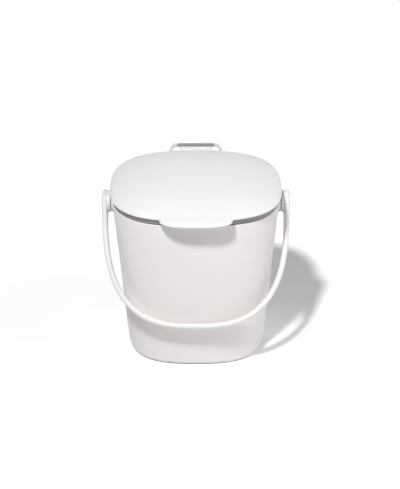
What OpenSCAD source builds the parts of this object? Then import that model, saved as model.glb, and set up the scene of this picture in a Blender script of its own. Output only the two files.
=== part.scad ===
// Countertop compost caddy: a tapered bin with a domed lid hinged at the back and a swinging bail.
// Origin at the centre of the base, on the surface it stands on. X is the width, -Y the front.

/* [Bin] */
// Width of the bin across its rim
rim_w = 204; // [180:1:230]
// Depth of the bin across its rim, front to back
rim_d = 179.5; // [160:0.5:205]
// Width of the bin at its base
base_w = 177; // [150:0.5:200]
// Depth of the bin at its base
base_d = 154; // [130:0.5:176]
// Height of the rim above the surface it stands on
bin_h = 209.5; // [190:0.5:230]
// How square the rounded outline is: 2 is an ellipse, more is squarer
squareness = 2.8; // [2.6:0.1:3.6]
// Thickness of the bin's wall
bin_wall = 2.5; // [2:0.1:3]
// Thickness of the bin's floor
floor_t = 3; // [2.5:0.1:4]
// Radius of the rounded edge round the base
base_round = 7.5; // [6:0.5:18]

/* [Lid] */
// How far the lid's edge stands out past the bin's rim
lid_overhang = 2.5; // [2:0.1:4]
// Height of the soft band seen between the rim and the lid's edge
band_h = 7.8; // [6:0.1:10]
// Height of the upright edge of the lid
lid_edge_h = 1.4; // [1:0.1:3]
// Rise of the dome above its edge
crown_h = 17.4; // [12:0.1:22]
// How late the dome turns down towards its edge
crown_power = 2.3; // [2:0.1:2.8]
// How full the dome's shoulder is: 1 meets the edge at a plain slope, more is rounder
crown_shoulder = 1.5; // [1:0.1:2]
// Thickness of the lid's shell
lid_wall = 2.2; // [1.8:0.1:2.6]

/* [Finger tab] */
// Width of the tab where it leaves the lid's front
tab_w = 84.5; // [70:0.5:96]
// How far the tab reaches past the lid's edge
tab_reach = 12.7; // [10:0.1:16]
// How square the tab's corners are: 2 is an ellipse, more is squarer
tab_squareness = 2.9; // [2.2:0.1:3.4]
// How far the tab's tip drops below the lid's edge
tab_drop = 1.8; // [1:0.1:3]

/* [Lid liner and seal] */
// How far the liner's plug reaches down inside the rim
plug_depth = 6; // [4:0.5:9]
// Gap between the plug and the bin's inner wall
plug_gap = 1.2; // [1:0.1:2]
// Thickness of the liner
liner_t = 2; // [1.6:0.1:2.5]
// Gap between the seal and the rim
seal_gap = 0.5; // [0.4:0.1:0.8]
// Radius of the seal's two outer edges
seal_round = 1.4; // [1:0.1:2]

/* [Hinge] */
// Distance of the hinge's axis behind the rim
hinge_back = 12.5; // [11:0.5:15]
// Height of the hinge's axis above the rim
hinge_up = 6.5; // [6:0.5:7.5]
// Diameter of the lid's knuckle
knuckle_d = 11.2; // [9.6:0.2:12]
// Width of the lid's knuckle
knuckle_w = 40; // [30:1:46]
// Width of the bracket on the bin, at the hinge's axis
bracket_w = 71; // [68:1:80]
// Diameter of the hinge pin
hinge_pin_d = 3.6; // [3:0.1:4]
// Thickness of the wall behind the knuckle
back_wall = 4; // [3:0.5:5]
// Height of the bracket's top above the hinge's axis
bracket_up = 6.8; // [6.4:0.1:8]
// How far the bracket's foot runs down the bin
bracket_drop = 34; // [28:1:45]

/* [Stop pad] */
// Width of the soft pad that the open lid leans on
pad_w = 50; // [40:1:54]
// Height of the pad
pad_h = 4.4; // [4:0.1:6]
// Depth of the pad, front to back
pad_d = 2.6; // [2:0.1:3]
// How far the pad stands proud of its pocket
pad_proud = 0.4; // [0.2:0.1:0.8]

/* [Handle] */
// Distance from the pivots to the outside of the crossbar
handle_reach = 158; // [150:1:170]
// Thickness of the handle's band
band_t = 6.6; // [5:0.1:8]
// Width of the handle's band
band_w = 15; // [12:0.5:18]
// Radius of the rounded edges of the band
band_round = 2.3; // [1:0.1:2.4]
// How square the handle's bend is: 2 is an ellipse, more is squarer
bend_squareness = 2.8; // [2.2:0.1:3.2]
// Length of the straight part of each arm, below the pivot
straight_arm = 4; // [2:1:30]
// Distance of the pivots below the rim
pivot_below_rim = 14; // [14:0.5:24]
// Diameter of the handle's hubs
hub_d = 29; // [24:0.5:30]
// Thickness of the boss inside each hub
hub_boss_t = 3.8; // [3:0.1:8]
// How far the bin's bosses stand out beside the pivots
pivot_boss_t = 2.8; // [2:0.1:6]
// Gap between the hub and the bin's boss
hub_gap = 1.1; // [0.6:0.1:1.6]
// Diameter of the studs that the handle turns on
stud_d = 10; // [8:0.2:12]
// Gap between the resting handle and the bin's front wall
rest_gap = 1; // [0.6:0.1:4]

/* [Fits] */
// Running gap round the hinge pin and the studs
running_gap = 0.05; // [0.03:0.01:0.1]
// Gap at each end of the lid's knuckle
side_gap = 0.4; // [0.3:0.1:0.6]
// Gap between the knuckle and the bracket's seat
seat_gap = 1; // [0.8:0.1:1.4]
// Gap round pieces that drop into a seat
seat_clearance = 0.1; // [0.05:0.05:0.2]

/* [Hidden] */

bin_color = "#f3f0f1";
lid_color = "#f4f2f4";
handle_color = "#f8f7f3";
soft_color = "#a3a1a1";
steel_color = "#b8bbc0";

arc_steps = 6;
plug_steps = 3;
corner_steps = 2;
plan_step = 4;
tab_steps = 12;
$fn = 64;

// Share of a wall's thickness that a joined solid sinks into it
sink_share = 0.7;
boss_sink_share = 0.9;
// Share of a radius that a chamfer takes off where it stands for a round
chamfer_share = 0.3;

lid_w = rim_w + 2 * lid_overhang;
lid_d = rim_d + 2 * lid_overhang;
lid_z = bin_h + band_h;
crown_z = lid_z + lid_edge_h;
hinge_y = rim_d / 2 + hinge_back;
hinge_z = bin_h + hinge_up;
pivot_z = bin_h - pivot_below_rim;
wall_slope = (rim_d - base_d) / 2 / bin_h;
boss_d = hub_d - 2;
boss_out = wall_w(pivot_z) / 2 + pivot_boss_t;
hub_in = boss_out + hub_gap;
hub_out = hub_in + hub_boss_t + band_t;
hub_face_t = 4;
bore_gap = 1;
stud_end = hub_out - hub_face_t;
bore_end = stud_end + bore_gap;

// ---- outlines ----

// Distance from the centre to a rounded-square outline, in the direction of angle t
function plan_radius(a, b, t) =
    pow(pow(abs(cos(t)) / a, squareness) + pow(abs(sin(t)) / b, squareness), -1 / squareness);

// Directions in which every plain outline is sampled
plain_angles = [for (t = [0 : plan_step : 360 - plan_step]) t];

// Direction of the point on the lid's front edge that lies x to the side
function front_angle(x) =
    270 + atan(x / (lid_d / 2 * pow(1 - pow(abs(x) / (lid_w / 2), squareness), 1 / squareness)));

// Directions across the finger tab, closer together at its rounded corners
tab_angles = [
    for (k = [-tab_steps : tab_steps])
        let (a = 90 * k / tab_steps)
        front_angle(tab_w / 2 * sign(a) * pow(abs(sin(a)), 2 / tab_squareness))
];

// Directions round the lid
lid_angles = concat(
    [for (t = plain_angles) if (t < tab_angles[0] - plan_step / 4) t],
    tab_angles,
    [for (t = plain_angles) if (t > tab_angles[2 * tab_steps] + plan_step / 4) t]
);

// A level ring of points: w and d are its full sizes, z its height
function ring(w, d, z, angles = plain_angles) = [
    for (t = angles)
        let (r = plan_radius(w / 2, d / 2, t))
        [r * cos(t), r * sin(t), z]
];

// A skin over rings of equal count, flat at the first and last ring
module loft(rings) {
    count = len(rings[0]);
    last = (len(rings) - 1) * count;
    sides = [
        for (k = [0 : len(rings) - 2], i = [0 : count - 1])
            let (a = k * count, j = (i + 1) % count)
            each [[a + i, a + count + i, a + j], [a + j, a + count + i, a + count + j]]
    ];
    bottom = [for (i = [0 : count - 1]) i];
    top = [for (i = [count - 1 : -1 : 0]) last + i];
    polyhedron([for (r = rings) each r], concat(sides, [bottom, top]));
}

// A skin over rings that close on themselves, such as a tube bent into a loop
module closed_loft(rings) {
    count = len(rings[0]);
    levels = len(rings);
    sides = [
        for (k = [0 : levels - 1], i = [0 : count - 1])
            let (a = k * count, b = ((k + 1) % levels) * count, j = (i + 1) % count)
            each [[a + i, b + i, a + j], [a + j, b + i, b + j]]
    ];
    polyhedron([for (r = rings) each r], sides);
}

// ---- bin ----

// Outer width and depth of the bin's wall at height z
function wall_w(z) = base_w + (rim_w - base_w) * z / bin_h;
function wall_d(z) = base_d + (rim_d - base_d) * z / bin_h;

// Rings up a rounded bottom edge: r its radius, low its lowest height, gap the inset from the outside
function bottom_edge(r, low, gap) = [
    for (k = [0 : arc_steps])
        let (t = 90 * k / arc_steps, z = low + r * (1 - cos(t)), inset = gap + r * (1 - sin(t)))
        ring(wall_w(z) - 2 * inset, wall_d(z) - 2 * inset, z)
];

function reversed(list) = [for (i = [len(list) - 1 : -1 : 0]) list[i]];

module bucket() {
    loft(concat(
        bottom_edge(base_round, 0, 0),
        [ring(rim_w, rim_d, bin_h)],
        [ring(rim_w - 2 * bin_wall, rim_d - 2 * bin_wall, bin_h)],
        reversed(bottom_edge(base_round - bin_wall, floor_t, bin_wall))
    ));
}

bracket_top = hinge_z + bracket_up;
pad_face = hinge_y + knuckle_d / 2 + seat_gap;
bracket_back = pad_face + back_wall;
seat_z = hinge_z - knuckle_d / 2 - seat_gap;
foot_t = 1;
foot_taper = 10;
heel_round = 3;
top_round = 2.4;
top_taper = 7.2;
corner_r = 4;

// The bracket seen from the side: a foot down the bin's back, a seat under the knuckle, a back wall
module bracket_side() {
    root = bin_wall * sink_share;
    foot_z = bin_h - bracket_drop;
    heel_z = seat_z - back_wall;
    polygon([
        [wall_d(foot_z) / 2 - root, foot_z],
        [wall_d(foot_z) / 2 + foot_t, foot_z],
        [bracket_back - top_round / 2, heel_z - heel_round],
        [bracket_back, heel_z],
        [bracket_back, bracket_top - top_round],
        [bracket_back - top_round / 2, bracket_top - top_round / 4],
        [bracket_back - back_wall + top_round / 2, bracket_top],
        [pad_face, bracket_top - top_round / 4],
        [pad_face, seat_z],
        [rim_d / 2 - root, seat_z]
    ]);
}

// The bracket seen from the front, tapering to its rounded top corners
module bracket_front() {
    low_z = bin_h - bracket_drop;
    hull() {
        for (side = [-1, 1]) {
            translate([side * (bracket_w / 2 - top_taper - corner_r), bracket_top - corner_r])
                circle(corner_r);
            translate([side * (bracket_w / 2 - heel_round), bin_h])
                circle(heel_round);
            translate([side * (bracket_w / 2 - foot_taper), low_z + corner_r])
                circle(corner_r);
        }
    }
}

// A cheek on each side of the knuckle, rounded about the hinge's axis
module cheek_side() {
    sunk = back_wall / 4;
    front = hinge_y - knuckle_d / 2;
    translate([hinge_y, hinge_z])
        circle(d = knuckle_d);
    translate([front, seat_z - sunk])
        square([bracket_back - back_wall / 2 - front, hinge_z - seat_z + sunk]);
}

module hinge_bracket() {
    gap_half = knuckle_w / 2;
    cheek_w = bracket_w / 2 - gap_half;
    intersection() {
        rotate([90, 0, 0])
            linear_extrude(height = rim_d * 2, center = true)
                bracket_front();
        union() {
            translate([-bracket_w / 2, 0, 0])
                rotate([90, 0, 90])
                    linear_extrude(height = bracket_w)
                        bracket_side();
            for (x = [gap_half, -gap_half - cheek_w])
                translate([x, 0, 0])
                    rotate([90, 0, 90])
                        linear_extrude(height = cheek_w)
                            cheek_side();
        }
    }
}

module along_x(x, y, z) {
    translate([x, y, z])
        rotate([0, 90, 0])
            children();
}

module pivot_boss(side) {
    root = wall_w(pivot_z + boss_d / 2) / 2 - bin_wall * boss_sink_share;
    along_x(side > 0 ? root : -boss_out, 0, pivot_z)
        cylinder(d = boss_d, h = boss_out - root);
    along_x(side > 0 ? root : -stud_end, 0, pivot_z)
        cylinder(d = stud_d, h = stud_end - root);
}

module pad_pocket(clearance) {
    pad_y = pad_face - pad_proud;
    pad_z = bracket_top - pad_h / 2;
    end_r = pad_h / 2 + clearance;
    mid_w = pad_w - pad_h;
    translate([0, pad_y + pad_d + clearance, pad_z])
        rotate([90, 0, 0])
            linear_extrude(height = pad_d + clearance)
                union() {
                    square([mid_w, 2 * end_r], center = true);
                    for (side = [-1, 1])
                        translate([side * mid_w / 2, 0])
                            circle(end_r);
                }
}

pin_inset = 8;
pin_half = bracket_w / 2 - pin_inset;

module bin_body() {
    color(bin_color)
        difference() {
            union() {
                bucket();
                hinge_bracket();
                for (side = [-1, 1])
                    pivot_boss(side);
            }
            along_x(-pin_half, hinge_y, hinge_z)
                cylinder(d = hinge_pin_d, h = bracket_w);
            pad_pocket(seat_clearance);
        }
}

// ---- lid ----

// How far the finger tab draws the outline forward, in the direction of angle t
function tab_pull(t) =
    let (
        x = abs(plan_radius(lid_w / 2, lid_d / 2, t) * cos(t)),
        left = 1 - pow(x / (tab_w / 2), tab_squareness)
    )
    sin(t) > 0 || left < 0.0001 ? 0 : tab_reach * pow(left, 1 / tab_squareness);

// One ring of the lid: inset from the edge, scale towards the centre, height, and share of the tab
function lid_ring(inset, scale, z, tab) = [
    for (t = lid_angles)
        let (
            r = plan_radius(lid_w / 2 - inset, lid_d / 2 - inset, t) * scale,
            pull = tab_pull(t) * tab
        )
        [r * cos(t), r * sin(t) - pull, z - tab_drop * pull / tab_reach]
];

// Height of the dome's outer skin at a scale from 0 at its centre to 1 at its edge
function dome_z(scale) = crown_z + crown_h * pow(1 - pow(scale, crown_power), 1 / crown_shoulder);

// Share of the finger tab that is left at that scale
function tab_share(scale) =
    let (u = max(0, (scale - root_share) / (1 - root_share)))
    u * u * (3 - 2 * u);

root_share = 0.93;
dome_scales = [0.996, 0.985, 0.965, 0.94, 0.9, 0.85, 0.78, 0.7, 0.6, 0.47, 0.32, 0.17, 0.05];
inner_scales = [0.12, 0.3, 0.5, 0.68, 0.82, 0.92];
edge_round = 0.7;
flange_h = liner_t;

module dome_shell() {
    shoulder_z = lid_z + flange_h;
    loft(concat(
        [for (s = inner_scales) lid_ring(lid_wall * 2, s, dome_z(s) - lid_wall, 0)],
        [lid_ring(lid_wall * 2, 1, shoulder_z, 0)],
        [lid_ring(lid_wall, 1, shoulder_z, 0)],
        [lid_ring(lid_wall, 1, lid_z, 0)],
        [lid_ring(edge_round, 1, lid_z, 1)],
        [lid_ring(0, 1, lid_z + edge_round, 1)],
        [lid_ring(0, 1, crown_z, 1)],
        [for (s = dome_scales) lid_ring(0, s, dome_z(s), tab_share(s))]
    ));
}

// The lid's tongue and knuckle seen from the side
module knuckle_side() {
    sunk = lid_wall * sink_share;
    translate([hinge_y, hinge_z])
        circle(d = knuckle_d);
    polygon([
        [lid_d / 2 - sunk, lid_z],
        [hinge_y, hinge_z],
        [hinge_y, hinge_z + knuckle_d / 2],
        [lid_d / 2 + tongue_dip, crown_z],
        [lid_d / 2 - sunk, crown_z + sunk]
    ]);
}

tongue_dip = 1;

module lid_shell() {
    width = knuckle_w - 2 * side_gap;
    color(lid_color)
        difference() {
            union() {
                dome_shell();
                translate([-width / 2, 0, 0])
                    rotate([90, 0, 90])
                        linear_extrude(height = width)
                            knuckle_side();
            }
            along_x(-knuckle_w / 2, hinge_y, hinge_z)
                cylinder(d = hinge_pin_d + 2 * running_gap, h = knuckle_w);
        }
}

// ---- liner and seal ----

plug_z = bin_h - plug_depth;
plug_w = wall_w(plug_z) - 2 * (bin_wall + plug_gap);
plug_d = wall_d(plug_z) - 2 * (bin_wall + plug_gap);
plug_round = 3;

// A closed pan: its flange seats in the lid's edge and its plug hangs inside the rim
module lid_liner() {
    flange_w = lid_w - 2 * (lid_wall + seat_clearance);
    flange_d = lid_d - 2 * (lid_wall + seat_clearance);
    floor_z = plug_z + liner_t;
    color(lid_color)
        loft(concat(
            [for (k = [0 : plug_steps])
                let (t = 90 * k / plug_steps, inset = plug_round * (1 - sin(t)))
                ring(plug_w - 2 * inset, plug_d - 2 * inset, plug_z + plug_round * (1 - cos(t)))],
            [ring(plug_w, plug_d, lid_z)],
            [ring(flange_w, flange_d, lid_z)],
            [ring(flange_w, flange_d, lid_z + flange_h)],
            [ring(plug_w - 2 * liner_t, plug_d - 2 * liner_t, lid_z + flange_h)],
            [ring(plug_w - 2 * liner_t, plug_d - 2 * liner_t, floor_z)]
        ));
}

// The soft ring round the plug, under the liner's flange
module lid_seal() {
    low = bin_h + seal_gap;
    r = seal_round;
    e = r * chamfer_share;
    color(soft_color)
        closed_loft([
            ring(plug_w + 2 * seat_clearance, plug_d + 2 * seat_clearance, low),
            ring(rim_w - 2 * r, rim_d - 2 * r, low),
            ring(rim_w - 2 * e, rim_d - 2 * e, low + e),
            ring(rim_w, rim_d, low + r),
            ring(rim_w, rim_d, lid_z - r),
            ring(rim_w - 2 * e, rim_d - 2 * e, lid_z - e),
            ring(rim_w - 2 * r, rim_d - 2 * r, lid_z),
            ring(plug_w + 2 * seat_clearance, plug_d + 2 * seat_clearance, lid_z)
        ]);
}

// ---- hinge pin and stop pad ----

module hinge_pin() {
    color(steel_color)
        along_x(-pin_half, hinge_y, hinge_z)
            cylinder(d = hinge_pin_d, h = 2 * pin_half);
}

module stop_pad() {
    color(soft_color)
        pad_pocket(0);
}

// ---- handle ----

bend_steps = 56;
mid_reach = handle_reach - straight_arm - band_t / 2;
arm_x = hub_out - band_t / 2;

// Angle between the resting handle and straight down, where its crossbar lies rest_gap off the wall
inner_reach = handle_reach - band_t;
lean_y = inner_reach + wall_slope * band_w / 2;
lean_z = wall_slope * inner_reach - band_w / 2;
lean = asin((wall_d(pivot_z) / 2 + rest_gap) / norm([lean_y, lean_z])) - atan2(lean_z, lean_y);

// The middle line of the band, hanging straight down from the pivots: t runs from 0 to 180 degrees
function bend_point(t) =
    let (p = 2 / bend_squareness)
    [arm_x * sign(cos(t)) * pow(abs(cos(t)), p), -straight_arm - mid_reach * pow(abs(sin(t)), p)];

// The path of the band in its own plane, from one pivot to the other
bend_path = concat(
    [[arm_x, 0], [arm_x, -straight_arm / 2]],
    [for (k = [0 : bend_steps]) bend_point(180 * k / bend_steps)],
    [[-arm_x, -straight_arm / 2], [-arm_x, 0]]
);

flare_share = 1.3;

// Width of the band at a depth below the pivots: it flares into the hub
function flared_w(depth) =
    let (u = max(0, min(1, depth / (hub_d * flare_share))))
    hub_d + (band_w - hub_d) * u * u * (3 - 2 * u);

// One cross-section of the band: a rounded rectangle, t thick and w wide
function band_section(t, w) =
    let (r = band_round)
    [
        for (corner = [[1, 1, 0], [-1, 1, 90], [-1, -1, 180], [1, -1, 270]], k = [0 : corner_steps])
            let (a = corner[2] + 90 * k / corner_steps)
            [corner[0] * (t / 2 - r) + r * cos(a), corner[1] * (w / 2 - r) + r * sin(a)]
    ];

// Direction of the path at point i, as a unit vector
function path_direction(i) =
    let (
        before = bend_path[max(0, i - 1)],
        after = bend_path[min(len(bend_path) - 1, i + 1)]
    )
    (after - before) / norm(after - before);

module bail_band() {
    loft([
        for (i = [0 : len(bend_path) - 1])
            let (p = bend_path[i], d = path_direction(i))
            [
                for (s = band_section(band_t, flared_w(-p[1])))
                    [p[0] + d[1] * s[0], s[1], p[1] - d[0] * s[0]]
            ]
    ]);
}

// A hub: a round disc with a softened rim on the outside and its boss on the inside
module hub(side) {
    r = hub_d / 2;
    e = band_round;
    depth = band_t + hub_boss_t;
    mirror([side > 0 ? 0 : 1, 0, 0])
        translate([hub_in, 0, 0])
            rotate([0, 90, 0])
                rotate_extrude()
                    polygon([
                        [0, 0],
                        [r - e / 2, 0],
                        [r, e / 2],
                        [r, depth - e],
                        [r - chamfer_share * e, depth - chamfer_share * e],
                        [r - e, depth],
                        [0, depth]
                    ]);
}

module bail_handle() {
    color(handle_color)
        translate([0, 0, pivot_z])
            rotate([-lean, 0, 0])
                difference() {
                    union() {
                        bail_band();
                        for (side = [-1, 1])
                            hub(side);
                    }
                    for (side = [-1, 1])
                        along_x(side > 0 ? hub_in - bore_gap : -bore_end, 0, 0)
                            cylinder(d = stud_d + 2 * running_gap, h = bore_end - hub_in + bore_gap);
                }
}

bin_body();
lid_shell();
lid_liner();
lid_seal();
hinge_pin();
stop_pad();
bail_handle();
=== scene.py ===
import math

import bpy
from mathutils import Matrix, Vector


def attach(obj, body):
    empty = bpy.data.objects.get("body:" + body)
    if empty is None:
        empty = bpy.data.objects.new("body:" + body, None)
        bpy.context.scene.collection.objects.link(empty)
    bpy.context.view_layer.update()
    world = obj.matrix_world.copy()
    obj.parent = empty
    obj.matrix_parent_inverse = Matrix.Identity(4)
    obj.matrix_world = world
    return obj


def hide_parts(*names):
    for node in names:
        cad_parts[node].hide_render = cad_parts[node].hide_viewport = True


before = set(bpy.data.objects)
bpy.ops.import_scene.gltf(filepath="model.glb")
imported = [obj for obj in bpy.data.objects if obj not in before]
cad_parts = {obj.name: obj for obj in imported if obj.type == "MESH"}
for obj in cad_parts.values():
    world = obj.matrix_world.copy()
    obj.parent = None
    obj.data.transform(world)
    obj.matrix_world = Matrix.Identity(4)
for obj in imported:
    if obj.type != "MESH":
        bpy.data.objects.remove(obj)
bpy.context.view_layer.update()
print("frame loaded, nodes:", len(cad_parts))

# Pieces are modelled in millimetres, and settle() makes them metres. Points closer than sliver are merged.
mm = 0.001
sliver = 0.004


def choose(part):
    if bpy.context.mode != "OBJECT":
        bpy.ops.object.mode_set(mode="OBJECT")
    bpy.ops.object.select_all(action="DESELECT")
    part.select_set(True)
    bpy.context.view_layer.objects.active = part


def leaveEdit():
    if bpy.context.mode != "OBJECT":
        bpy.ops.object.mode_set(mode="OBJECT")


def nothingSelected():
    leaveEdit()
    bpy.ops.object.select_all(action="DESELECT")


# selects faces, edges or points whose middle and direction pass the test, and stays in edit mode
def pick(part, kind, test):
    choose(part)
    bpy.ops.object.mode_set(mode="EDIT")
    bpy.ops.mesh.select_mode(type=kind)
    bpy.ops.mesh.select_all(action="DESELECT")
    bpy.ops.object.mode_set(mode="OBJECT")
    mesh = part.data
    if kind == "FACE":
        for face in mesh.polygons:
            face.select = test(face.center, face.normal)
    elif kind == "EDGE":
        for edge in mesh.edges:
            a, b = (mesh.vertices[i].co for i in edge.vertices)
            edge.select = test((a + b) / 2, b - a)
    else:
        for point in mesh.vertices:
            point.select = test(point.co, point.normal)
    bpy.ops.object.mode_set(mode="EDIT")


def near(a, b, slack=0.02):
    return abs(a - b) < slack


def grow(move, size=(1, 1, 1), centre=None):
    bpy.ops.mesh.extrude_region_move(TRANSFORM_OT_translate={"value": move})
    if size != (1, 1, 1):
        stretch(size, centre or (0, 0, 0))


def stretch(size, centre=(0, 0, 0)):
    bpy.ops.transform.resize(value=size, center_override=centre)


def softenEdges(width, steps=3):
    bpy.ops.mesh.bevel(offset=width, segments=steps, affect="EDGES", profile=0.5)


# a flat plate whose outline is a superellipse of the given power; upright ones lie in the XZ plane
def roundedPlate(name, width, depth, power, steps, upright=False):
    nothingSelected()
    turn = (math.pi / 2, 0, 0) if upright else (0, 0, 0)
    bpy.ops.mesh.primitive_plane_add(size=2, rotation=turn)
    part = bpy.context.object
    part.name = part.data.name = name
    bpy.ops.object.transform_apply(location=False, rotation=True, scale=False)
    bpy.ops.object.mode_set(mode="EDIT")
    bpy.ops.mesh.select_all(action="SELECT")
    bpy.ops.mesh.bevel(offset=0.999999, offset_type="OFFSET", segments=steps,
                       profile=2 ** (-2 / power), affect="VERTICES", clamp_overlap=False)
    bpy.ops.mesh.select_all(action="SELECT")
    bpy.ops.mesh.remove_doubles(threshold=1e-4)
    stretch((width / 2, 1, depth / 2) if upright else (width / 2, depth / 2, 1))
    leaveEdit()
    return part


# 1 on the rounded square's outline, less inside it
def outline(at, size, power):
    return (abs(2 * at.x / size[0]) ** power + abs(2 * at.y / size[1]) ** power) ** (1 / power)


def lift(part, height):
    pick(part, "VERT", lambda at, n: True)
    bpy.ops.transform.translate(value=(0, 0, height))
    leaveEdit()


def block(name, low, high):
    nothingSelected()
    middle = [(a + b) / 2 for a, b in zip(low, high)]
    bpy.ops.mesh.primitive_cube_add(size=1, location=middle)
    part = bpy.context.object
    part.name = part.data.name = name
    part.scale = [b - a for a, b in zip(low, high)]
    bpy.ops.object.transform_apply(location=True, rotation=False, scale=True)
    return part


# a round bar along X, from x1 to x2
def barAlongX(name, radius, x1, x2, y, z, steps=96):
    nothingSelected()
    bpy.ops.mesh.primitive_cylinder_add(vertices=steps, radius=radius, depth=abs(x2 - x1),
                                        location=((x1 + x2) / 2, y, z), rotation=(0, math.pi / 2, 0))
    part = bpy.context.object
    part.name = part.data.name = name
    bpy.ops.object.transform_apply(location=True, rotation=True, scale=False)
    return part


def outwards(part):
    pick(part, "FACE", lambda at, n: True)
    bpy.ops.mesh.remove_doubles(threshold=1e-4)
    bpy.ops.mesh.normals_make_consistent(inside=False)
    leaveEdit()


def useModifier(part, kind, **settings):
    choose(part)
    modifier = part.modifiers.new(kind.lower(), kind)
    for name, value in settings.items():
        setattr(modifier, name, value)
    bpy.ops.object.modifier_apply(modifier=modifier.name)


def combine(part, other, how):
    useModifier(part, "BOOLEAN", operation=how, object=other, solver="EXACT", use_self=True)
    bpy.data.objects.remove(other)


def joinAll(parts):
    choose(parts[0])
    for part in parts[1:]:
        part.select_set(True)
    bpy.ops.object.join()
    return parts[0]


# merges the slivers that bevels and booleans leave
def tidyMesh(part):
    pick(part, "VERT", lambda at, n: True)
    bpy.ops.mesh.remove_doubles(threshold=sliver)
    bpy.ops.mesh.dissolve_degenerate(threshold=sliver / 2)
    bpy.ops.mesh.delete_loose(use_verts=True, use_edges=True, use_faces=False)
    leaveEdit()


# metres, smooth shading, and the place in the frame
def settle(part, body, slot, material, *nodes, angle=35):
    tidyMesh(part)
    choose(part)
    part.scale = (mm, mm, mm)
    bpy.ops.object.transform_apply(location=True, rotation=True, scale=True)
    bpy.ops.object.shade_smooth_by_angle(angle=math.radians(angle))
    part.data.materials.clear()
    part.data.materials.append(material)
    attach(part, body)
    if nodes:
        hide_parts(*nodes)
    return part


# a socket with arithmetic, so that shader maths reads as an expression
class Signal:
    def __init__(self, maker, socket):
        self.maker, self.socket = maker, socket

    def reckon(self, how, a, b):
        return self.maker.node("ShaderNodeMath", {"operation": how}, {0: a, 1: b})["Value"]

    def __add__(self, other):
        return self.reckon("ADD", self, other)

    def __radd__(self, other):
        return self.reckon("ADD", other, self)

    def __sub__(self, other):
        return self.reckon("SUBTRACT", self, other)

    def __rsub__(self, other):
        return self.reckon("SUBTRACT", other, self)

    def __mul__(self, other):
        return self.reckon("MULTIPLY", self, other)

    def __rmul__(self, other):
        return self.reckon("MULTIPLY", other, self)

    def __truediv__(self, other):
        return self.reckon("DIVIDE", self, other)

    def __rtruediv__(self, other):
        return self.reckon("DIVIDE", other, self)


class Outputs:
    def __init__(self, maker, node):
        self.maker, self.made = maker, node

    def __getitem__(self, name):
        return Signal(self.maker, self.made.outputs[name])


# the nodes of one material or of the world
class NodeGraph:
    def __init__(self, owner, ending):
        owner.use_nodes = True
        self.owner, self.ending, self.tree = owner, ending, owner.node_tree
        self.tree.nodes.clear()

    def node(self, kind, settings=None, inputs=None):
        made = self.tree.nodes.new(kind)
        for name, value in (settings or {}).items():
            if name == "stops":
                ramp = made.color_ramp
                while len(ramp.elements) < len(value):
                    ramp.elements.new(0.5)
                for element, (place, colour) in zip(ramp.elements, value):
                    element.position, element.color = place, (*colour, 1)
            else:
                setattr(made, name, value)
        for name, value in (inputs or {}).items():
            socket = made.inputs[name]
            if isinstance(value, Signal):
                self.tree.links.new(value.socket, socket)
            else:
                socket.default_value = value
        return Outputs(self, made)

    def place(self, stretchBy=(1, 1, 1)):
        spot = self.node("ShaderNodeTexCoord")["Object"]
        if stretchBy == (1, 1, 1):
            return spot
        return self.node("ShaderNodeMapping", {}, {"Vector": spot, "Scale": stretchBy})["Vector"]

    def noise(self, scale, detail=3.0, roughness=0.5, stretchBy=(1, 1, 1)):
        return self.node("ShaderNodeTexNoise", {}, {"Vector": self.place(stretchBy), "Scale": scale,
                                                    "Detail": detail, "Roughness": roughness})["Fac"]

    def blendColours(self, factor, first, second):
        colours = {0: factor, 6: (*first, 1), 7: (*second, 1)}
        mixed = self.node("ShaderNodeMix", {"data_type": "RGBA"}, colours)
        return Signal(self, mixed.made.outputs[2])

    def blendShaders(self, factor, first, second):
        return self.node("ShaderNodeMixShader", {}, {0: factor, 1: first, 2: second})["Shader"]

    def vectors(self, how, *inputs):
        return self.node("ShaderNodeVectorMath", {"operation": how}, dict(enumerate(inputs)))

    def bump(self, strength, distance, **inputs):
        settings = {"Strength": strength, "Distance": distance, **inputs}
        return self.node("ShaderNodeBump", {}, settings)["Normal"]

    # 1 for rays that show a surface directly, in a reflection or through glass
    def seen(self):
        rays = self.node("ShaderNodeLightPath")
        return rays["Is Camera Ray"] + rays["Is Glossy Ray"] + rays["Is Transmission Ray"]

    def close(self, shader):
        self.node(self.ending, {}, {"Surface": shader})
        return self.owner


def newMaterial(name):
    return NodeGraph(bpy.data.materials.new(name), "ShaderNodeOutputMaterial")


def finishSolid(graph, inputs):
    return graph.close(graph.node("ShaderNodeBsdfPrincipled", {}, inputs)["BSDF"])


# satin moulded plastic: fine spark-eroded grain, faint flow tone, a few handling marks
plasticLooks = {
    "bin": {
        "light": (0.885, 0.847, 0.847), "deep": (0.862, 0.823, 0.823), "roughness": 0.46, "grain": 0.10,
    },
    "lid": {
        "light": (0.838, 0.828, 0.834), "deep": (0.818, 0.808, 0.814), "roughness": 0.42, "grain": 0.09,
    },
    "handle": {
        "light": (0.83, 0.814, 0.787), "deep": (0.805, 0.789, 0.762), "roughness": 0.44, "grain": 0.07,
    },
}


def mouldedPlastic(name, look):
    finish = newMaterial(name)
    flow = finish.noise(9.0, 3.0, 0.55, (1, 1, 0.45))
    grain = finish.noise(1900.0, 2.0, 0.6)
    orange = finish.noise(240.0, 2.0, 0.5)
    marks = {"stops": [(0.52, (0, 0, 0)), (0.72, (1, 1, 1))]}
    rubbed = finish.node("ShaderNodeValToRGB", marks, {"Fac": finish.noise(34.0, 5.0, 0.65, (1, 1, 0.3))})
    colour = finish.blendColours(flow, look["deep"], look["light"])
    roughness = look["roughness"] + (grain - 0.5) * 0.10 - rubbed["Color"] * 0.05
    coarse = finish.bump(0.05, 0.0004, Height=orange)
    fine = finish.bump(look["grain"], 0.00015, Height=grain, Normal=coarse)
    return finishSolid(finish, {"Base Color": colour, "Roughness": roughness, "Normal": fine, "IOR": 1.5})


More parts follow.
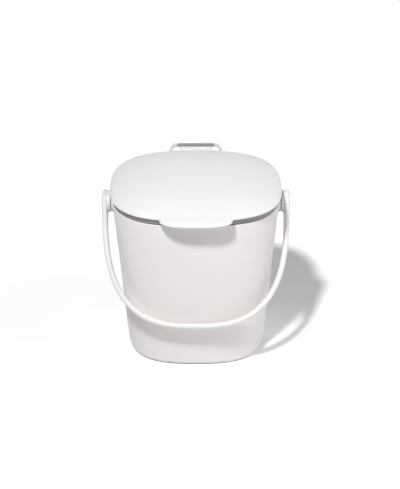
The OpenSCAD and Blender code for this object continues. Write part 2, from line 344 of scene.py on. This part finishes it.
softLook = {"light": (0.37, 0.365, 0.365), "deep": (0.32, 0.315, 0.315), "roughness": 0.74}


def softRubber(name, look):
    finish = newMaterial(name)
    bloom = finish.noise(26.0, 4.0, 0.6)
    pores = finish.noise(1400.0, 2.0, 0.55)
    colour = finish.blendColours(bloom, look["deep"], look["light"])
    roughness = look["roughness"] + (bloom - 0.5) * 0.16
    bump = finish.bump(0.25, 0.0002, Height=pores)
    return finishSolid(finish, {"Base Color": colour, "Roughness": roughness, "Normal": bump})


steelLook = {"light": (0.68, 0.69, 0.71), "deep": (0.56, 0.57, 0.59), "roughness": 0.22}


def drawnSteel(name, look):
    finish = newMaterial(name)
    lines = finish.noise(60.0, 3.0, 0.6, (0.4, 30, 30))
    colour = finish.blendColours(lines, look["deep"], look["light"])
    roughness = look["roughness"] + lines * 0.14
    bump = finish.bump(0.15, 0.0001, Height=lines)
    metal = {"Base Color": colour, "Roughness": roughness, "Metallic": 1.0, "Normal": bump}
    return finishSolid(finish, metal)


binPlastic = mouldedPlastic("binPlastic", plasticLooks["bin"])
lidPlastic = mouldedPlastic("lidPlastic", plasticLooks["lid"])
handlePlastic = mouldedPlastic("handlePlastic", plasticLooks["handle"])
softGrey = softRubber("softGrey", softLook)
pinSteel = drawnSteel("pinSteel", steelLook)
print("materials ready")


bucketSizes = {
    "rim": (204, 179.5), "base": (177, 154), "height": 209.5, "power": 2.8, "steps": 40,
    "wall": 2.5, "floor": 3, "baseRound": 7.5, "rimRound": 0.8,
}


def wallSize(z):
    s = bucketSizes
    share = z / s["height"]
    return [b + (r - b) * share for b, r in zip(s["base"], s["rim"])]


def makeBucket():
    s = bucketSizes
    part = roundedPlate("binShell", *s["base"], s["power"], s["steps"])
    pick(part, "FACE", lambda at, n: True)
    grow((0, 0, s["height"]), (s["rim"][0] / s["base"][0], s["rim"][1] / s["base"][1], 1))
    outwards(part)
    pick(part, "EDGE", lambda at, along: near(at.z, 0) and near(along.z, 0))
    softenEdges(s["baseRound"], 9)
    pick(part, "FACE", lambda at, n: near(at.z, s["height"]) and n.z > 0.9)
    bpy.ops.mesh.inset(thickness=s["wall"])
    mouth = [r - 2 * s["wall"] for r in s["rim"]]
    low = [w - 2 * s["wall"] for w in wallSize(s["floor"])]
    grow((0, 0, s["floor"] - s["height"]), (low[0] / mouth[0], low[1] / mouth[1], 1))
    pick(part, "EDGE", lambda at, along: near(at.z, s["floor"]) and near(along.z, 0))
    softenEdges(s["baseRound"] - s["wall"], 7)
    pick(part, "EDGE", lambda at, along: near(at.z, s["height"]) and near(along.z, 0))
    softenEdges(s["rimRound"], 3)
    leaveEdit()
    return part


bracketSizes = {
    "hingeY": 102.25, "hingeZ": 216, "width": 71, "knuckle": 11.2, "gapWidth": 40, "seatGap": 1,
    "backWall": 4, "up": 6.8, "drop": 34, "shoulderZ": 212.5, "topInset": 7.2, "footInset": 10, "corner": 4,
    "soft": 0.45, "embed": 1.75, "extra": 2, "seatThick": 7, "footDepth": 2.75, "underRound": 9,
    "topRound": 1.9, "pinHalf": 27.5, "pinHole": 3.64, "padWidth": 50, "padHeight": 4.4, "padDepth": 2.6,
    "padProud": 0.4, "padRound": 0.35, "clearance": 0.1,
}


# a bar with round ends, lying along X between y1 and y2
def stadium(name, width, height, y1, y2, z):
    part = roundedPlate(name, height, height, 2, 12, upright=True)
    for side in (1, -1):
        pick(part, "VERT", lambda at, n: at.x * side > 0.01)
        bpy.ops.transform.translate(value=(side * (width - height) / 2, 0, 0))
    pick(part, "FACE", lambda at, n: True)
    bpy.ops.transform.translate(value=(0, y1, z))
    grow((0, y2 - y1, 0))
    outwards(part)
    return part


def makeBracket():
    s, b = bracketSizes, bucketSizes
    halfWidth = s["width"] / 2
    rawHalf = halfWidth + s["extra"]
    front = b["rim"][1] / 2 - s["embed"]
    back = s["hingeY"] + s["knuckle"] / 2 + s["seatGap"] + s["backWall"]
    seatZ = s["hingeZ"] - s["knuckle"] / 2 - s["seatGap"]
    underZ = seatZ - s["seatThick"]
    topZ = s["hingeZ"] + s["up"]
    footZ = b["height"] - s["drop"]
    footY = wallSize(footZ)[1] / 2
    wallFront = back - s["backWall"]
    cheekFront = s["hingeY"] - s["knuckle"] / 2
    cheekTop = s["hingeZ"] + s["knuckle"] / 2

    seat = block("bracket", (-rawHalf, front, underZ), (rawHalf, back, seatZ))
    pick(seat, "FACE", lambda at, n: n.z < -0.9)
    grow((0, 0, footZ - underZ))
    stretch((1, s["footDepth"] / (back - front), 1), (0, front, footZ))
    bpy.ops.transform.translate(value=(0, footY - s["embed"] - front, 0))
    pick(seat, "EDGE", lambda at, along: near(at.y, back) and near(at.z, underZ) and abs(along.x) > 1)
    softenEdges(s["underRound"], 6)

    joinZ = seatZ - s["extra"]
    wall = block("wall", (-rawHalf, wallFront, joinZ), (rawHalf, back, topZ))
    pick(wall, "EDGE", lambda at, along: near(at.z, topZ) and near(at.y, back) and abs(along.x) > 1)
    softenEdges(s["topRound"], 4)
    cheeks = []
    for side in (-1, 1):
        x1, x2 = sorted((side * s["gapWidth"] / 2, side * rawHalf))
        cheek = block("cheek", (x1, cheekFront, joinZ), (x2, s["hingeY"] + s["knuckle"] / 2, cheekTop))
        pick(cheek, "EDGE", lambda at, along: near(at.z, cheekTop) and abs(along.x) > 1)
        softenEdges(s["knuckle"] / 2 - 0.02, 8)
        leaveEdit()
        cheeks.append(cheek)
        cheeks.append(block("web", (x1, s["hingeY"], joinZ), (x2, wallFront + 1, s["hingeZ"])))
    for piece in [wall] + cheeks:
        combine(seat, piece, "UNION")

    combine(seat, makeProfile(topZ, footZ), "INTERSECT")

    gap = s["clearance"]
    padFront = wallFront - s["padProud"]
    width, height = s["padWidth"] + 2 * gap, s["padHeight"] + 2 * gap
    padZ = topZ - s["padHeight"] / 2
    pocket = stadium("pocket", width, height, padFront - 1, padFront + s["padDepth"] + gap, padZ)
    combine(seat, pocket, "DIFFERENCE")
    hole = barAlongX("hole", s["pinHole"] / 2, -s["pinHalf"], halfWidth + 3, s["hingeY"], s["hingeZ"], 48)
    combine(seat, hole, "DIFFERENCE")
    useModifier(seat, "BEVEL", width=s["soft"], segments=2, limit_method="ANGLE",
                angle_limit=math.radians(50), harden_normals=False)
    return seat


# the bracket's outline from behind: widest at the rim, narrower towards its top and its foot
def makeProfile(topZ, footZ):
    s = bracketSizes
    halfWidth, depth = s["width"] / 2, 100
    nothingSelected()
    upright = (math.pi / 2, 0, 0)
    bpy.ops.mesh.primitive_grid_add(x_subdivisions=1, y_subdivisions=2, size=2, rotation=upright)
    profile = bpy.context.object
    bpy.ops.object.transform_apply(location=False, rotation=True, scale=False)
    rows = [(-1, halfWidth - s["footInset"] + s["corner"], footZ - 1),
            (0, halfWidth, s["shoulderZ"]), (1, halfWidth - s["topInset"], topZ)]
    for row, half, z in rows:
        pick(profile, "VERT", lambda at, n: near(at.z, row))
        stretch((half, 1, 1))
        leaveEdit()
    for row, half, z in rows:
        pick(profile, "VERT", lambda at, n: near(at.z, row) and near(abs(at.x), half, 0.1))
        bpy.ops.transform.translate(value=(0, depth / 2, z - row))
        leaveEdit()
    pick(profile, "FACE", lambda at, n: True)
    bpy.ops.mesh.dissolve_faces()
    grow((0, depth, 0))
    outwards(profile)
    pick(profile, "EDGE", lambda at, along: abs(along.y) > depth / 2)
    softenEdges(s["corner"], 6)
    leaveEdit()
    return profile


bossSizes = {
    "z": 195.5, "radius": 13.5, "inner": 96, "out": 103.898, "round": 0.9,
    "studRadius": 5, "studEnd": 111.398, "studRound": 0.6,
}


def makeBosses():
    s = bossSizes
    made = []
    for side in (-1, 1):
        boss = barAlongX("boss", s["radius"], side * s["inner"], side * s["out"], 0, s["z"])
        pick(boss, "FACE", lambda at, n: n.x * side > 0.9)
        bpy.ops.mesh.inset(thickness=s["radius"] - s["studRadius"])
        grow((side * (s["studEnd"] - s["out"]), 0, 0))
        pick(boss, "EDGE", lambda at, along: near(at.x, side * s["out"]) and near(along.x, 0)
             and math.hypot(at.y, at.z - s["z"]) > s["radius"] - 1)
        softenEdges(s["round"], 3)
        pick(boss, "EDGE", lambda at, along: near(at.x, side * s["studEnd"]) and near(along.x, 0))
        softenEdges(s["studRound"], 2)
        leaveEdit()
        made.append(boss)
    return made


binShell = joinAll([makeBucket(), makeBracket()] + makeBosses())
settle(binShell, "bin", "bin_plastic", binPlastic, "bin_body")
print("bin made")


lidSizes = {
    "size": (209, 184.5), "power": 2.8, "z": 217.3, "edge": 1.4, "crown": 17.4, "turn": 2.3,
    "shoulder": 1.5, "wall": 2.2, "flange": 2, "roof": 3, "roofShare": 0.93, "steps": 80, "round": 0.7,
    "tabWidth": 84.5, "tabReach": 12.7, "tabDrop": 1.8, "tabPower": 2.9, "tabRoot": 0.93,
    "knuckleWidth": 39.2, "knuckleRound": 0.4, "tongueEmbed": 1.54, "bore": 1.85,
    "rings": [0.9985, 0.995, 0.989, 0.981, 0.971, 0.96, 0.948, 0.934, 0.918, 0.9, 0.88, 0.855, 0.825, 0.79,
              0.75, 0.7, 0.65, 0.59, 0.53, 0.46, 0.39, 0.32, 0.25, 0.18, 0.11, 0.05],
}


def domeHeight(share):
    s = lidSizes
    return s["z"] + s["edge"] + s["crown"] * (1 - share ** s["turn"]) ** (1 / s["shoulder"])


def smooth(value):
    value = max(0, min(1, value))
    return value * value * (3 - 2 * value)


# draws the front of the rounded lid out into the finger tab; the columns close up at the tab's corners
def drawTab(part):
    s = lidSizes
    halfW, halfD, halfTab, n = s["size"][0] / 2, s["size"][1] / 2, s["tabWidth"] / 2, s["power"]
    for point in part.data.vertices:
        at = point.co
        if at.y >= 0:
            continue
        share = (abs(at.x / halfW) ** n + abs(at.y / halfD) ** n) ** (1 / n)
        across = at.x / max(share, 0.001)
        if abs(across) >= halfTab:
            continue
        turned = math.sin(abs(across) / halfTab * math.pi / 2) ** (2 / s["tabPower"])
        across = math.copysign(halfTab * turned, across)
        at.x = across * share
        at.y = -share * halfD * (1 - abs(across / halfW) ** n) ** (1 / n)
        pull = s["tabReach"] * max(0, 1 - turned ** s["tabPower"]) ** (1 / s["tabPower"])
        if at.z > s["z"] + 0.01:
            pull *= smooth((share - s["tabRoot"]) / (1 - s["tabRoot"]))
        else:
            pull *= smooth((share - 1 + s["wall"] / halfD) / ((s["wall"] - s["round"]) / halfD))
        at.y -= pull
        at.z -= s["tabDrop"] * pull / s["tabReach"]


def makeLid():
    s = lidSizes
    part = roundedPlate("lidShell", *s["size"], s["power"], s["steps"])
    lift(part, s["z"])
    pick(part, "FACE", lambda at, n: True)
    grow((0, 0, s["edge"]))
    outwards(part)
    pick(part, "FACE", lambda at, n: n.z > 0.9)
    share, z = 1, domeHeight(1)
    for ring in s["rings"]:
        rise = domeHeight(ring) - z
        grow((0, 0, rise), (ring / share, ring / share, 1), (0, 0, z + rise))
        share, z = ring, z + rise
    pick(part, "EDGE", lambda at, along: near(along.z, 0) and near(at.z, s["z"]))
    softenEdges(s["round"], 4)
    pick(part, "FACE", lambda at, n: n.z < -0.9 and near(at.z, s["z"]))
    bpy.ops.mesh.inset(thickness=s["wall"] - s["round"])
    grow((0, 0, s["flange"]))
    bpy.ops.mesh.inset(thickness=s["wall"])
    shrink = (s["roofShare"], s["roofShare"], 1)
    grow((0, 0, s["roof"]), shrink, (0, 0, s["z"] + s["flange"] + s["roof"]))
    leaveEdit()
    drawTab(part)
    return part


def makeKnuckle():
    s, b = lidSizes, bracketSizes
    half = s["knuckleWidth"] / 2
    knuckle = barAlongX("knuckle", b["knuckle"] / 2, -half, half, b["hingeY"], b["hingeZ"])
    pick(knuckle, "EDGE", lambda at, along: near(along.x, 0))
    softenEdges(s["knuckleRound"], 2)
    leaveEdit()
    front = s["size"][1] / 2 - s["tongueEmbed"]
    topZ = s["z"] + s["edge"]
    tongue = block("tongue", (-half, front, s["z"]), (half, s["size"][1] / 2 + 1, topZ))
    pick(tongue, "FACE", lambda at, n: n.y > 0.9)
    grow((0, b["hingeY"] - s["size"][1] / 2 - 1, 0))
    pick(tongue, "VERT", lambda at, n: near(at.y, b["hingeY"]) and at.z > topZ - 1)
    bpy.ops.transform.translate(value=(0, 0, b["hingeZ"] + b["knuckle"] / 2 - topZ))
    pick(tongue, "VERT", lambda at, n: near(at.y, b["hingeY"]) and near(at.z, s["z"]))
    bpy.ops.transform.translate(value=(0, 0, b["hingeZ"] - s["z"]))
    leaveEdit()
    whole = joinAll([knuckle, tongue])
    bore = barAlongX("bore", s["bore"], -half - 1, half + 1, b["hingeY"], b["hingeZ"], 48)
    combine(whole, bore, "DIFFERENCE")
    return whole


lidShell = joinAll([makeLid(), makeKnuckle()])
settle(lidShell, "lid", "lid_plastic", lidPlastic, "lid_shell")
print("lid made")


linerSizes = {
    "z": 203.5, "plug": (195.827, 171.370), "flange": (204.4, 179.9), "thick": 2, "round": 3, "step": 0.01,
}


def makeLiner():
    s, lid = linerSizes, lidSizes
    part = roundedPlate("lidLiner", *s["plug"], lid["power"], bucketSizes["steps"])
    lift(part, s["z"])
    pick(part, "FACE", lambda at, n: True)
    grow((0, 0, lid["z"] - s["z"]))
    outwards(part)
    pick(part, "FACE", lambda at, n: n.z > 0.9)
    grow((0, 0, s["step"]), (s["flange"][0] / s["plug"][0], s["flange"][1] / s["plug"][1], 1))
    grow((0, 0, lid["flange"] - 3 * s["step"]))
    inner = [p - 2 * s["thick"] for p in s["plug"]]
    bpy.ops.mesh.inset(thickness=(s["flange"][0] - inner[0]) / 2)
    grow((0, 0, s["z"] + s["thick"] - lid["z"] - lid["flange"] + 2 * s["step"]))
    pick(part, "EDGE", lambda at, along: near(at.z, s["z"]) and near(along.z, 0))
    softenEdges(s["round"], 5)
    leaveEdit()
    return part


sealSizes = {
    "low": 210, "lipLow": 210.9, "lipHigh": 215.6, "high": 217.3, "round": 0.5, "lip": 2.2,
    "step": 0.02, "inner": (196.027, 171.570),
}


# a ring with one broad lip; the necks under and over it leave the fine shadow gaps
def makeSeal():
    s, b = sealSizes, bucketSizes
    neck = [r - 2 * s["lip"] for r in b["rim"]]
    spread = (b["rim"][0] / neck[0], b["rim"][1] / neck[1], 1)
    part = roundedPlate("lidSeal", *neck, b["power"], b["steps"])
    lift(part, s["low"])
    pick(part, "FACE", lambda at, n: True)
    grow((0, 0, s["lipLow"] - s["low"]))
    outwards(part)
    pick(part, "FACE", lambda at, n: n.z > 0.9)
    grow((0, 0, s["step"]), spread)
    grow((0, 0, s["lipHigh"] - s["lipLow"] - 2 * s["step"]))
    grow((0, 0, s["step"]), [1 / size for size in spread])
    grow((0, 0, s["high"] - s["lipHigh"]))
    pick(part, "EDGE", lambda at, along: near(along.z, 0) and outline(at, b["rim"], b["power"]) > 0.995)
    softenEdges(s["round"], 3)
    pick(part, "FACE", lambda at, n: abs(n.z) > 0.9 and math.hypot(at.x, at.y) < 1)
    bpy.ops.mesh.inset(thickness=(neck[0] - s["inner"][0]) / 2)
    bpy.ops.mesh.bridge_edge_loops()
    leaveEdit()
    return part


lidLiner = settle(makeLiner(), "lid", "lid_plastic", lidPlastic, "lid_liner")
lidSeal = settle(makeSeal(), "lid", "soft_grey", softGrey, "lid_seal")
print("liner and seal made")


def makePad():
    s = bracketSizes
    wallFront = s["hingeY"] + s["knuckle"] / 2 + s["seatGap"]
    y = wallFront - s["padProud"]
    z = s["hingeZ"] + s["up"] - s["padHeight"] / 2
    part = stadium("stopPad", s["padWidth"], s["padHeight"], y, y + s["padDepth"], z)
    pick(part, "EDGE", lambda at, along: near(along.y, 0))
    softenEdges(s["padRound"], 3)
    leaveEdit()
    return part


stopPad = settle(makePad(), "bin", "soft_grey", softGrey, "stop_pad")
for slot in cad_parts["hinge_pin"].material_slots:
    slot.material = pinSteel
print("pad made")


handleSizes = {
    "width": 230.796, "reach": 158, "thick": 6.6, "band": 15, "round": 3.0, "power": 2.8, "arm": 4,
    "pivotZ": 195.5, "hub": 29, "hubIn": 104.998, "tilt": 35.6492, "steps": 48, "flare": 1.3,
    "tongue": 4, "bore": 5.06, "boreEnd": 112.398, "wider": 0.4, "deeper": 0.3, "inset": 0.05,
    "bossStep": 1, "bossEnd": 3.4, "bossRound": 0.8,
}


def bandWidth(depth):
    s = handleSizes
    return s["hub"] + (s["band"] - s["hub"]) * smooth(depth / (s["hub"] * s["flare"]))


# a soft-edged disc with the boss that reaches in towards the bin; the band ends inside it
def makeHub(side):
    s = handleSizes
    outer, radius = s["width"] / 2, s["hub"] / 2
    inner, face = outer - s["thick"] + s["inset"], outer - s["inset"]
    disc = barAlongX("hub", radius, side * inner, side * face, 0, 0)
    pick(disc, "EDGE", lambda at, along: near(along.x, 0))
    softenEdges(s["round"], 6)
    leaveEdit()
    boss = barAlongX("boss", radius - s["bossStep"], side * s["hubIn"], side * (outer - s["bossEnd"]), 0, 0)
    pick(boss, "EDGE", lambda at, along: near(at.x, side * s["hubIn"]) and near(along.x, 0))
    softenEdges(s["bossRound"], 3)
    leaveEdit()
    combine(disc, boss, "UNION")
    bore = barAlongX("bore", s["bore"], side * (s["hubIn"] - 1), side * s["boreEnd"], 0, 0, 64)
    combine(disc, bore, "DIFFERENCE")
    return disc


def makeHandle():
    s = handleSizes
    across = s["width"] - s["thick"]
    drop = s["reach"] - s["arm"] - s["thick"] / 2
    part = roundedPlate("bailHandle", across, 2 * drop, s["power"], s["steps"], upright=True)
    pick(part, "FACE", lambda at, n: True)
    bpy.ops.mesh.delete(type="ONLY_FACE")
    pick(part, "VERT", lambda at, n: at.z > 0.001)
    bpy.ops.mesh.delete(type="VERT")
    lift(part, -s["arm"])
    z = -s["arm"]
    pick(part, "VERT", lambda at, n: near(at.z, z, 0.001))
    for level in (-2, 0, s["tongue"]):
        bpy.ops.mesh.extrude_vertices_move(TRANSFORM_OT_translate={"value": (0, 0, level - z)})
        z = level
    pick(part, "EDGE", lambda at, along: True)
    grow((0, s["band"], 0))
    pick(part, "VERT", lambda at, n: True)
    bpy.ops.transform.translate(value=(0, -s["band"] / 2, 0))
    leaveEdit()
    heights = sorted(set(round(v.co.z, 3) for v in part.data.vertices if v.co.z > -s["hub"] * s["flare"]))
    for height in heights:
        above = height > 0.01
        wide = s["hub"] - 2 * s["tongue"] if above else bandWidth(-height)
        pick(part, "VERT", lambda at, n: near(at.z, height, 0.002))
        stretch((1, wide / s["band"], 1))
    leaveEdit()
    useModifier(part, "SOLIDIFY", thickness=s["thick"], offset=0, use_even_offset=True)
    outwards(part)
    useModifier(part, "BEVEL", width=s["round"], segments=6, use_clamp_overlap=False,
                limit_method="ANGLE", angle_limit=math.radians(50))
    # wider and deeper than the hubs' own bore, so that only theirs shows
    end = s["boreEnd"] + s["deeper"]
    bore = barAlongX("bore", s["bore"] + s["wider"], -end, end, 0, 0, 64)
    combine(part, bore, "DIFFERENCE")
    part = joinAll([part, makeHub(-1), makeHub(1)])
    part.rotation_euler = (-math.radians(s["tilt"]), 0, 0)
    part.location = (0, 0, s["pivotZ"])
    choose(part)
    bpy.ops.object.transform_apply(location=True, rotation=True, scale=False)
    return part


bailHandle = settle(makeHandle(), "handle", "handle_plastic", handlePlastic, "bail_handle")
print("handle made")


studio = {
    "floor": 2.4, "paper": 0.87, "white": 1.1, "clearFrom": 0.36, "clearTo": 0.5, "sky": 0.08,
    "cameraAt": (0, -1.0748, 0.7667), "pitch": 30.53, "yaw": 0.27, "lens": 72.35,
}

lampSizes = {
    "key": {"at": (-0.342, -0.74, 1.51), "aim": (0, 0, 0.15), "watts": 19.5, "size": 0.16},
    "high": {"at": (0.95, -0.2, 1.15), "aim": (0, 0, 0.12), "watts": 4.3, "size": 0.7},
    "side": {"at": (1.15, -0.3, 0.3), "aim": (0, 0, 0.12), "watts": 1.6, "size": 0.55},
    "front": {"at": (0.4, -1.15, 0.3), "aim": (0, 0, 0.12), "watts": 1.4, "size": 0.55},
}

nothingSelected()
bpy.ops.mesh.primitive_plane_add(size=2 * studio["floor"], location=(0, 0, -0.0001))
floor = bpy.context.object
floor.name = "floor"


# how much light one lamp gives the paper at a spot
def lampShare(paper, spot, lamp):
    along = (Vector(lamp["aim"]) - Vector(lamp["at"])).normalized()
    reach = paper.vectors("SUBTRACT", spot, lamp["at"])["Vector"]
    ahead = paper.vectors("DOT_PRODUCT", reach, along)["Value"]
    square = paper.vectors("DOT_PRODUCT", reach, reach)["Value"]
    return ahead * (lamp["watts"] * lamp["at"][2] / math.pi ** 2) / (square * square)


# matt paper, with the lamps' falloff evened out where it is seen, and plain white far from the caddy
def studioPaper():
    paper = newMaterial("paper")
    seen = paper.seen()
    spot = paper.place()
    light = studio["sky"] + sum(lampShare(paper, spot, lamp) for lamp in lampSizes.values())
    mottle = studio["paper"] - 0.01 + paper.noise(5.0) * 0.02
    evened = studio["white"] * mottle / (light * studio["paper"])
    away = paper.vectors("LENGTH", spot)["Value"]
    span = {"Value": away, "From Min": studio["clearFrom"], "From Max": studio["clearTo"]}
    clear = paper.node("ShaderNodeMapRange", {"interpolation_type": "SMOOTHSTEP"}, span)["Result"]
    matte = paper.node("ShaderNodeBsdfDiffuse", {}, {"Color": mottle})["BSDF"]
    shown = paper.node("ShaderNodeBsdfDiffuse", {}, {"Color": evened})["BSDF"]
    white = paper.node("ShaderNodeEmission", {}, {"Color": (1, 1, 1, 1), "Strength": 1.0})["Emission"]
    return paper.close(paper.blendShaders(seen, matte, paper.blendShaders(clear, shown, white)))


floor.data.materials.append(studioPaper())


def studioWorld():
    sky = NodeGraph(bpy.data.worlds.new("studio"), "ShaderNodeOutputWorld")
    whites = [sky.node("ShaderNodeBackground", {}, {"Color": (1, 1, 1, 1), "Strength": strength})
              for strength in (studio["sky"], 1.0)]
    dim, bright = (white["Background"] for white in whites)
    return sky.close(sky.blendShaders(sky.seen(), dim, bright))


bpy.context.scene.world = studioWorld()


def softLamp(name, at, aim, watts, size):
    nothingSelected()
    bpy.ops.object.light_add(type="AREA", location=at)
    lamp = bpy.context.object
    lamp.name = name
    lamp.data.shape = "DISK"
    lamp.data.size = size
    lamp.data.energy = watts
    lamp.rotation_euler = (Vector(aim) - Vector(at)).to_track_quat("-Z", "Y").to_euler()


for kind, lamp in lampSizes.items():
    softLamp(kind + "Lamp", **lamp)

bpy.ops.object.camera_add(location=studio["cameraAt"])
camera = bpy.context.object
camera.rotation_euler = (math.radians(90 - studio["pitch"]), 0, -math.radians(studio["yaw"]))
camera.data.lens = studio["lens"]
camera.data.sensor_width = 36
camera.data.clip_end = 20
bpy.context.scene.camera = camera
bpy.context.scene.view_settings.view_transform = "Standard"

print("stage ready")
